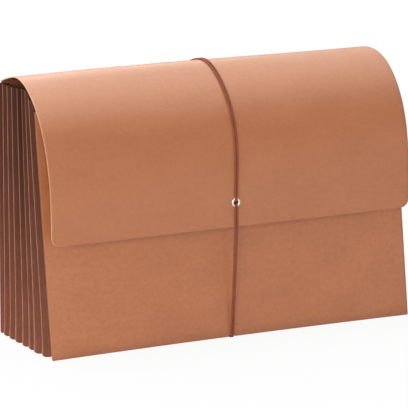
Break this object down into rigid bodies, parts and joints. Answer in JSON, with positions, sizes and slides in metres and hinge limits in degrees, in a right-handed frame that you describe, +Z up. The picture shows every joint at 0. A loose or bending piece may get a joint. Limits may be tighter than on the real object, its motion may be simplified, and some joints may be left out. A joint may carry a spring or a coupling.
{
  "type": "expanding file wallet",
  "caption": "Upright document wallet with stiff front and back boards, pleated gussets at the sides and base, a roll-over flap with an eyelet, and a doubled elastic cord.",
  "frame": {"origin": "middle of the footprint, on the surface the wallet stands on", "axes": "+X along the width, to the right seen from the front; the front faces -Y; +Z up"},
  "size_m": [0.3872, 0.1468, 0.2617],
  "materials": {
    "board": "grained leather-look board, satin",
    "gusset": "matte dark brown tear-resistant paper",
    "nickel": "polished nickel",
    "elastic": "braided brown elastic"
  },
  "bodies": {
    "back": {"back_panel": "board", "elastic_back": "elastic", "elastic_under": "elastic"},
    "front": {"front_panel": "board"},
    "elastic_lower": {"elastic_lower": "elastic"},
    "flap_spine": {"flap_spine": "board"},
    "flap_roll_upper": {"flap_roll_upper": "board"},
    "flap_roll_lower": {"flap_roll_lower": "board"},
    "flap_front": {"flap_front": "board", "eyelet": "nickel", "elastic_knot": "elastic", "elastic_upper": "elastic"},
    "left_leaf_01": {"left_leaf_01": "gusset"},
    "left_leaf_02": {"left_leaf_02": "gusset"},
    "left_leaf_03": {"left_leaf_03": "gusset"},
    "left_leaf_04": {"left_leaf_04": "gusset"},
    "left_leaf_05": {"left_leaf_05": "gusset"},
    "left_leaf_06": {"left_leaf_06": "gusset"},
    "left_leaf_07": {"left_leaf_07": "gusset"},
    "left_leaf_08": {"left_leaf_08": "gusset"},
    "left_leaf_09": {"left_leaf_09": "gusset"},
    "left_leaf_10": {"left_leaf_10": "gusset"},
    "left_leaf_11": {"left_leaf_11": "gusset"},
    "left_leaf_12": {"left_leaf_12": "gusset"},
    "left_leaf_13": {"left_leaf_13": "gusset"},
    "left_leaf_14": {"left_leaf_14": "gusset"},
    "left_leaf_15": {"left_leaf_15": "gusset"},
    "left_leaf_16": {"left_leaf_16": "gusset"},
    "right_leaf_01": {"right_leaf_01": "gusset"},
    "right_leaf_02": {"right_leaf_02": "gusset"},
    "right_leaf_03": {"right_leaf_03": "gusset"},
    "right_leaf_04": {"right_leaf_04": "gusset"},
    "right_leaf_05": {"right_leaf_05": "gusset"},
    "right_leaf_06": {"right_leaf_06": "gusset"},
    "right_leaf_07": {"right_leaf_07": "gusset"},
    "right_leaf_08": {"right_leaf_08": "gusset"},
    "right_leaf_09": {"right_leaf_09": "gusset"},
    "right_leaf_10": {"right_leaf_10": "gusset"},
    "right_leaf_11": {"right_leaf_11": "gusset"},
    "right_leaf_12": {"right_leaf_12": "gusset"},
    "right_leaf_13": {"right_leaf_13": "gusset"},
    "right_leaf_14": {"right_leaf_14": "gusset"},
    "right_leaf_15": {"right_leaf_15": "gusset"},
    "right_leaf_16": {"right_leaf_16": "gusset"},
    "bottom_leaf_01": {"bottom_leaf_01": "gusset"},
    "bottom_leaf_02": {"bottom_leaf_02": "gusset"},
    "bottom_leaf_03": {"bottom_leaf_03": "gusset"},
    "bottom_leaf_04": {"bottom_leaf_04": "gusset"},
    "bottom_leaf_05": {"bottom_leaf_05": "gusset"},
    "bottom_leaf_06": {"bottom_leaf_06": "gusset"},
    "bottom_leaf_07": {"bottom_leaf_07": "gusset"},
    "bottom_leaf_08": {"bottom_leaf_08": "gusset"},
    "bottom_leaf_09": {"bottom_leaf_09": "gusset"},
    "bottom_leaf_10": {"bottom_leaf_10": "gusset"},
    "bottom_leaf_11": {"bottom_leaf_11": "gusset"},
    "bottom_leaf_12": {"bottom_leaf_12": "gusset"},
    "bottom_leaf_13": {"bottom_leaf_13": "gusset"},
    "bottom_leaf_14": {"bottom_leaf_14": "gusset"},
    "bottom_leaf_15": {"bottom_leaf_15": "gusset"},
    "bottom_leaf_16": {"bottom_leaf_16": "gusset"}
  },
  "joints": [
    {"name": "expand", "type": "hinge", "parent": "back", "child": "front", "pos_m": [0, 0.00414, 0.69497], "axis": [-1, 0, 0], "range_deg": [-9.72, 0], "deforming": ["elastic_upper", "elastic_under", "elastic_lower"]},
    {"name": "flap_open", "type": "hinge", "parent": "back", "child": "flap_spine", "pos_m": [0, 0.04704, 0.25407], "axis": [-1, 0, 0], "range_deg": [0, 170]},
    {"name": "left_fold_01", "type": "hinge", "parent": "back", "child": "left_leaf_01", "pos_m": [-0.1935, 0.07082, -0.00002], "axis": [0, -0.0955, 0.9954], "range_deg": [-0.2, 24.77]},
    {"name": "left_fold_02", "type": "hinge", "parent": "left_leaf_01", "child": "left_leaf_02", "pos_m": [-0.17749, 0.06262, -0.00057], "axis": [-0.0229, -0.0838, 0.9962], "range_deg": [-49.36, 0.2]},
    {"name": "left_fold_03", "type": "hinge", "parent": "left_leaf_02", "child": "left_leaf_03", "pos_m": [-0.1935, 0.05444, -0.0014], "axis": [0, -0.072, 0.9974], "range_deg": [-0.2, 49.34]},
    {"name": "left_fold_04", "type": "hinge", "parent": "left_leaf_03", "child": "left_leaf_04", "pos_m": [-0.17749, 0.04623, -0.00176], "axis": [-0.0229, -0.0603, 0.9979], "range_deg": [-49.36, 0.2]},
    {"name": "left_fold_05", "type": "hinge", "parent": "left_leaf_04", "child": "left_leaf_05", "pos_m": [-0.1935, 0.03804, -0.00239], "axis": [0, -0.0486, 0.9988], "range_deg": [-0.2, 49.34]},
    {"name": "left_fold_06", "type": "hinge", "parent": "left_leaf_05", "child": "left_leaf_06", "pos_m": [-0.17749, 0.02983, -0.00255], "axis": [-0.0229, -0.0368, 0.9991], "range_deg": [-49.36, 0.2]},
    {"name": "left_fold_07", "type": "hinge", "parent": "left_leaf_06", "child": "left_leaf_07", "pos_m": [-0.1935, 0.02162, -0.00299], "axis": [0, -0.025, 0.9997], "range_deg": [-0.2, 49.34]},
    {"name": "left_fold_16", "type": "hinge", "parent": "front", "child": "left_leaf_16", "pos_m": [-0.1935, -0.06253, -0.00002], "axis": [0, 0.0955, 0.9954], "range_deg": [-24.77, 0.2]},
    {"name": "left_fold_15", "type": "hinge", "parent": "left_leaf_16", "child": "left_leaf_15", "pos_m": [-0.17749, -0.05434, -0.00057], "axis": [-0.0229, 0.0838, 0.9962], "range_deg": [-0.2, 49.36]},
    {"name": "left_fold_14", "type": "hinge", "parent": "left_leaf_15", "child": "left_leaf_14", "pos_m": [-0.1935, -0.04616, -0.0014], "axis": [0, 0.072, 0.9974], "range_deg": [-49.34, 0.2]},
    {"name": "left_fold_13", "type": "hinge", "parent": "left_leaf_14", "child": "left_leaf_13", "pos_m": [-0.17749, -0.03795, -0.00176], "axis": [-0.0229, 0.0603, 0.9979], "range_deg": [-0.2, 49.36]},
    {"name": "left_fold_12", "type": "hinge", "parent": "left_leaf_13", "child": "left_leaf_12", "pos_m": [-0.1935, -0.02976, -0.00239], "axis": [0, 0.0486, 0.9988], "range_deg": [-49.34, 0.2]},
    {"name": "left_fold_11", "type": "hinge", "parent": "left_leaf_12", "child": "left_leaf_11", "pos_m": [-0.17749, -0.02154, -0.00255], "axis": [-0.0229, 0.0368, 0.9991], "range_deg": [-0.2, 49.36]},
    {"name": "left_fold_10", "type": "hinge", "parent": "left_leaf_11", "child": "left_leaf_10", "pos_m": [-0.1935, -0.01334, -0.00299], "axis": [0, 0.025, 0.9997], "range_deg": [-49.34, 0.2]},
    {"name": "left_fold_09", "type": "hinge", "parent": "left_leaf_10", "child": "left_leaf_09", "pos_m": [-0.17749, -0.00512, -0.00297], "axis": [-0.0229, 0.0133, 0.9996], "range_deg": [-0.2, 49.36]},
    {"name": "left_fold_08", "type": "hinge", "parent": "left_leaf_09", "child": "left_leaf_08", "pos_m": [-0.1935, 0.00309, -0.00321], "axis": [0, 0.0015, 1], "range_deg": [-49.34, 0.2]},
    {"name": "right_fold_01", "type": "hinge", "parent": "back", "child": "right_leaf_01", "pos_m": [0.1935, 0.07082, -0.00002], "axis": [0, -0.0955, 0.9954], "range_deg": [-24.77, 0.2]},
    {"name": "right_fold_02", "type": "hinge", "parent": "right_leaf_01", "child": "right_leaf_02", "pos_m": [0.17749, 0.06262, -0.00057], "axis": [0.0229, -0.0838, 0.9962], "range_deg": [-0.2, 49.36]},
    {"name": "right_fold_03", "type": "hinge", "parent": "right_leaf_02", "child": "right_leaf_03", "pos_m": [0.1935, 0.05444, -0.0014], "axis": [0, -0.072, 0.9974], "range_deg": [-49.34, 0.2]},
    {"name": "right_fold_04", "type": "hinge", "parent": "right_leaf_03", "child": "right_leaf_04", "pos_m": [0.17749, 0.04623, -0.00176], "axis": [0.0229, -0.0603, 0.9979], "range_deg": [-0.2, 49.36]},
    {"name": "right_fold_05", "type": "hinge", "parent": "right_leaf_04", "child": "right_leaf_05", "pos_m": [0.1935, 0.03804, -0.00239], "axis": [0, -0.0486, 0.9988], "range_deg": [-49.34, 0.2]},
    {"name": "right_fold_06", "type": "hinge", "parent": "right_leaf_05", "child": "right_leaf_06", "pos_m": [0.17749, 0.02983, -0.00255], "axis": [0.0229, -0.0368, 0.9991], "range_deg": [-0.2, 49.36]},
    {"name": "right_fold_07", "type": "hinge", "parent": "right_leaf_06", "child": "right_leaf_07", "pos_m": [0.1935, 0.02162, -0.00299], "axis": [0, -0.025, 0.9997], "range_deg": [-49.34, 0.2]},
    {"name": "right_fold_16", "type": "hinge", "parent": "front", "child": "right_leaf_16", "pos_m": [0.1935, -0.06253, -0.00002], "axis": [0, 0.0955, 0.9954], "range_deg": [-0.2, 24.77]},
    {"name": "right_fold_15", "type": "hinge", "parent": "right_leaf_16", "child": "right_leaf_15", "pos_m": [0.17749, -0.05434, -0.00057], "axis": [0.0229, 0.0838, 0.9962], "range_deg": [-49.36, 0.2]},
    {"name": "right_fold_14", "type": "hinge", "parent": "right_leaf_15", "child": "right_leaf_14", "pos_m": [0.1935, -0.04616, -0.0014], "axis": [0, 0.072, 0.9974], "range_deg": [-0.2, 49.34]},
    {"name": "right_fold_13", "type": "hinge", "parent": "right_leaf_14", "child": "right_leaf_13", "pos_m": [0.17749, -0.03795, -0.00176], "axis": [0.0229, 0.0603, 0.9979], "range_deg": [-49.36, 0.2]},
    {"name": "right_fold_12", "type": "hinge", "parent": "right_leaf_13", "child": "right_leaf_12", "pos_m": [0.1935, -0.02976, -0.00239], "axis": [0, 0.0486, 0.9988], "range_deg": [-0.2, 49.34]},
    {"name": "right_fold_11", "type": "hinge", "parent": "right_leaf_12", "child": "right_leaf_11", "pos_m": [0.17749, -0.02154, -0.00255], "axis": [0.0229, 0.0368, 0.9991], "range_deg": [-49.36, 0.2]},
    {"name": "right_fold_10", "type": "hinge", "parent": "right_leaf_11", "child": "right_leaf_10", "pos_m": [0.1935, -0.01334, -0.00299], "axis": [0, 0.025, 0.9997], "range_deg": [-0.2, 49.34]},
    {"name": "right_fold_09", "type": "hinge", "parent": "right_leaf_10", "child": "right_leaf_09", "pos_m": [0.17749, -0.00512, -0.00297], "axis": [0.0229, 0.0133, 0.9996], "range_deg": [-49.36, 0.2]},
    {"name": "right_fold_08", "type": "hinge", "parent": "right_leaf_09", "child": "right_leaf_08", "pos_m": [0.1935, 0.00309, -0.00321], "axis": [0, 0.0015, 1], "range_deg": [-0.2, 49.34]},
    {"name": "bottom_fold_01", "type": "hinge", "parent": "back", "child": "bottom_leaf_01", "pos_m": [0, 0.07024, 0.00595], "axis": [1, 0, 0], "range_deg": [-23.94, 0.2]},
    {"name": "bottom_fold_02", "type": "hinge", "parent": "bottom_leaf_01", "child": "bottom_leaf_02", "pos_m": [0, 0.06078, 0.02127], "axis": [1, 0, 0], "range_deg": [-0.2, 48.89]},
    {"name": "bottom_fold_03", "type": "hinge", "parent": "bottom_leaf_02", "child": "bottom_leaf_03", "pos_m": [0, 0.05401, 0.00459], "axis": [1, 0, 0], "range_deg": [-47.68, 0.2]},
    {"name": "bottom_fold_04", "type": "hinge", "parent": "bottom_leaf_03", "child": "bottom_leaf_04", "pos_m": [0, 0.04491, 0.02012], "axis": [1, 0, 0], "range_deg": [-0.2, 48.89]},
    {"name": "bottom_fold_05", "type": "hinge", "parent": "bottom_leaf_04", "child": "bottom_leaf_05", "pos_m": [0, 0.03775, 0.00361], "axis": [1, 0, 0], "range_deg": [-47.68, 0.2]},
    {"name": "bottom_fold_06", "type": "hinge", "parent": "bottom_leaf_05", "child": "bottom_leaf_06", "pos_m": [0, 0.02902, 0.01935], "axis": [1, 0, 0], "range_deg": [-0.2, 48.89]},
    {"name": "bottom_fold_07", "type": "hinge", "parent": "bottom_leaf_06", "child": "bottom_leaf_07", "pos_m": [0, 0.02147, 0.00301], "axis": [1, 0, 0], "range_deg": [-47.68, 0.2]},
    {"name": "bottom_fold_16", "type": "hinge", "parent": "front", "child": "bottom_leaf_16", "pos_m": [0, -0.06196, 0.00595], "axis": [1, 0, 0], "range_deg": [-0.2, 23.94]},
    {"name": "bottom_fold_15", "type": "hinge", "parent": "bottom_leaf_16", "child": "bottom_leaf_15", "pos_m": [0, -0.0525, 0.02127], "axis": [1, 0, 0], "range_deg": [-48.89, 0.2]},
    {"name": "bottom_fold_14", "type": "hinge", "parent": "bottom_leaf_15", "child": "bottom_leaf_14", "pos_m": [0, -0.04573, 0.00459], "axis": [1, 0, 0], "range_deg": [-0.2, 47.68]},
    {"name": "bottom_fold_13", "type": "hinge", "parent": "bottom_leaf_14", "child": "bottom_leaf_13", "pos_m": [0, -0.03663, 0.02012], "axis": [1, 0, 0], "range_deg": [-48.89, 0.2]},
    {"name": "bottom_fold_12", "type": "hinge", "parent": "bottom_leaf_13", "child": "bottom_leaf_12", "pos_m": [0, -0.02947, 0.00361], "axis": [1, 0, 0], "range_deg": [-0.2, 47.68]},
    {"name": "bottom_fold_11", "type": "hinge", "parent": "bottom_leaf_12", "child": "bottom_leaf_11", "pos_m": [0, -0.02074, 0.01935], "axis": [1, 0, 0], "range_deg": [-48.89, 0.2]},
    {"name": "bottom_fold_10", "type": "hinge", "parent": "bottom_leaf_11", "child": "bottom_leaf_10", "pos_m": [0, -0.01319, 0.00301], "axis": [1, 0, 0], "range_deg": [-0.2, 47.68]},
    {"name": "bottom_fold_09", "type": "hinge", "parent": "bottom_leaf_10", "child": "bottom_leaf_09", "pos_m": [0, -0.00483, 0.01895], "axis": [1, 0, 0], "range_deg": [-48.89, 0.2]},
    {"name": "bottom_fold_08", "type": "hinge", "parent": "bottom_leaf_09", "child": "bottom_leaf_08", "pos_m": [0, 0.0031, 0.00279], "axis": [1, 0, 0], "range_deg": [-0.2, 47.68]},
    {"name": "flap_bend_upper", "type": "hinge", "parent": "flap_spine", "child": "flap_roll_upper", "pos_m": [0, 0.03426, 0.25635], "axis": [-1, 0, 0], "range_deg": [-73.2, 0.2]},
    {"name": "flap_bend_middle", "type": "hinge", "parent": "flap_roll_upper", "child": "flap_roll_lower", "pos_m": [0, -0.02554, 0.24945], "axis": [-1, 0, 0], "range_deg": [-0.2, 35.2]},
    {"name": "flap_bend_lower", "type": "hinge", "parent": "flap_roll_lower", "child": "flap_front", "pos_m": [0, -0.06585, 0.18814], "axis": [-1, 0, 0], "range_deg": [-0.2, 27.2]},
    {"name": "elastic_drop", "type": "hinge", "parent": "front", "child": "elastic_lower", "pos_m": [-0.003, -0.06429, 0.00366], "axis": [1, 0, 0], "range_deg": [-0.2, 86.7]}
  ],
  "couplings": [
    {"joint": "left_fold_01", "follows": "expand", "ratio": -2.527},
    {"joint": "left_fold_02", "follows": "expand", "ratio": 5.0554},
    {"joint": "left_fold_03", "follows": "expand", "ratio": -5.054},
    {"joint": "left_fold_04", "follows": "expand", "ratio": 5.0554},
    {"joint": "left_fold_05", "follows": "expand", "ratio": -5.054},
    {"joint": "left_fold_06", "follows": "expand", "ratio": 5.0554},
    {"joint": "left_fold_07", "follows": "expand", "ratio": -5.054},
    {"joint": "left_fold_16", "follows": "expand", "ratio": 2.527},
    {"joint": "left_fold_15", "follows": "expand", "ratio": -5.0554},
    {"joint": "left_fold_14", "follows": "expand", "ratio": 5.054},
    {"joint": "left_fold_13", "follows": "expand", "ratio": -5.0554},
    {"joint": "left_fold_12", "follows": "expand", "ratio": 5.054},
    {"joint": "left_fold_11", "follows": "expand", "ratio": -5.0554},
    {"joint": "left_fold_10", "follows": "expand", "ratio": 5.054},
    {"joint": "left_fold_09", "follows": "expand", "ratio": -5.0554},
    {"joint": "left_fold_08", "follows": "expand", "ratio": 5.054},
    {"joint": "right_fold_01", "follows": "expand", "ratio": 2.527},
    {"joint": "right_fold_02", "follows": "expand", "ratio": -5.0554},
    {"joint": "right_fold_03", "follows": "expand", "ratio": 5.054},
    {"joint": "right_fold_04", "follows": "expand", "ratio": -5.0554},
    {"joint": "right_fold_05", "follows": "expand", "ratio": 5.054},
    {"joint": "right_fold_06", "follows": "expand", "ratio": -5.0554},
    {"joint": "right_fold_07", "follows": "expand", "ratio": 5.054},
    {"joint": "right_fold_16", "follows": "expand", "ratio": -2.527},
    {"joint": "right_fold_15", "follows": "expand", "ratio": 5.0554},
    {"joint": "right_fold_14", "follows": "expand", "ratio": -5.054},
    {"joint": "right_fold_13", "follows": "expand", "ratio": 5.0554},
    {"joint": "right_fold_12", "follows": "expand", "ratio": -5.054},
    {"joint": "right_fold_11", "follows": "expand", "ratio": 5.0554},
    {"joint": "right_fold_10", "follows": "expand", "ratio": -5.054},
    {"joint": "right_fold_09", "follows": "expand", "ratio": 5.0554},
    {"joint": "right_fold_08", "follows": "expand", "ratio": -5.054},
    {"joint": "bottom_fold_01", "follows": "expand", "ratio": 2.4413},
    {"joint": "bottom_fold_02", "follows": "expand", "ratio": -5.0076},
    {"joint": "bottom_fold_03", "follows": "expand", "ratio": 4.8826},
    {"joint": "bottom_fold_04", "follows": "expand", "ratio": -5.0076},
    {"joint": "bottom_fold_05", "follows": "expand", "ratio": 4.8826},
    {"joint": "bottom_fold_06", "follows": "expand", "ratio": -5.0076},
    {"joint": "bottom_fold_07", "follows": "expand", "ratio": 4.8826},
    {"joint": "bottom_fold_16", "follows": "expand", "ratio": -2.4413},
    {"joint": "bottom_fold_15", "follows": "expand", "ratio": 5.0076},
    {"joint": "bottom_fold_14", "follows": "expand", "ratio": -4.8826},
    {"joint": "bottom_fold_13", "follows": "expand", "ratio": 5.0076},
    {"joint": "bottom_fold_12", "follows": "expand", "ratio": -4.8826},
    {"joint": "bottom_fold_11", "follows": "expand", "ratio": 5.0076},
    {"joint": "bottom_fold_10", "follows": "expand", "ratio": -4.8826},
    {"joint": "bottom_fold_09", "follows": "expand", "ratio": 5.0076},
    {"joint": "bottom_fold_08", "follows": "expand", "ratio": -4.8826},
    {"joint": "flap_bend_upper", "follows": "expand", "ratio": 7.5075},
    {"joint": "flap_bend_middle", "follows": "expand", "ratio": -3.5995},
    {"joint": "flap_bend_lower", "follows": "expand", "ratio": -2.7767},
    {"joint": "elastic_drop", "follows": "flap_open", "ratio": 0.50882}
  ]
}
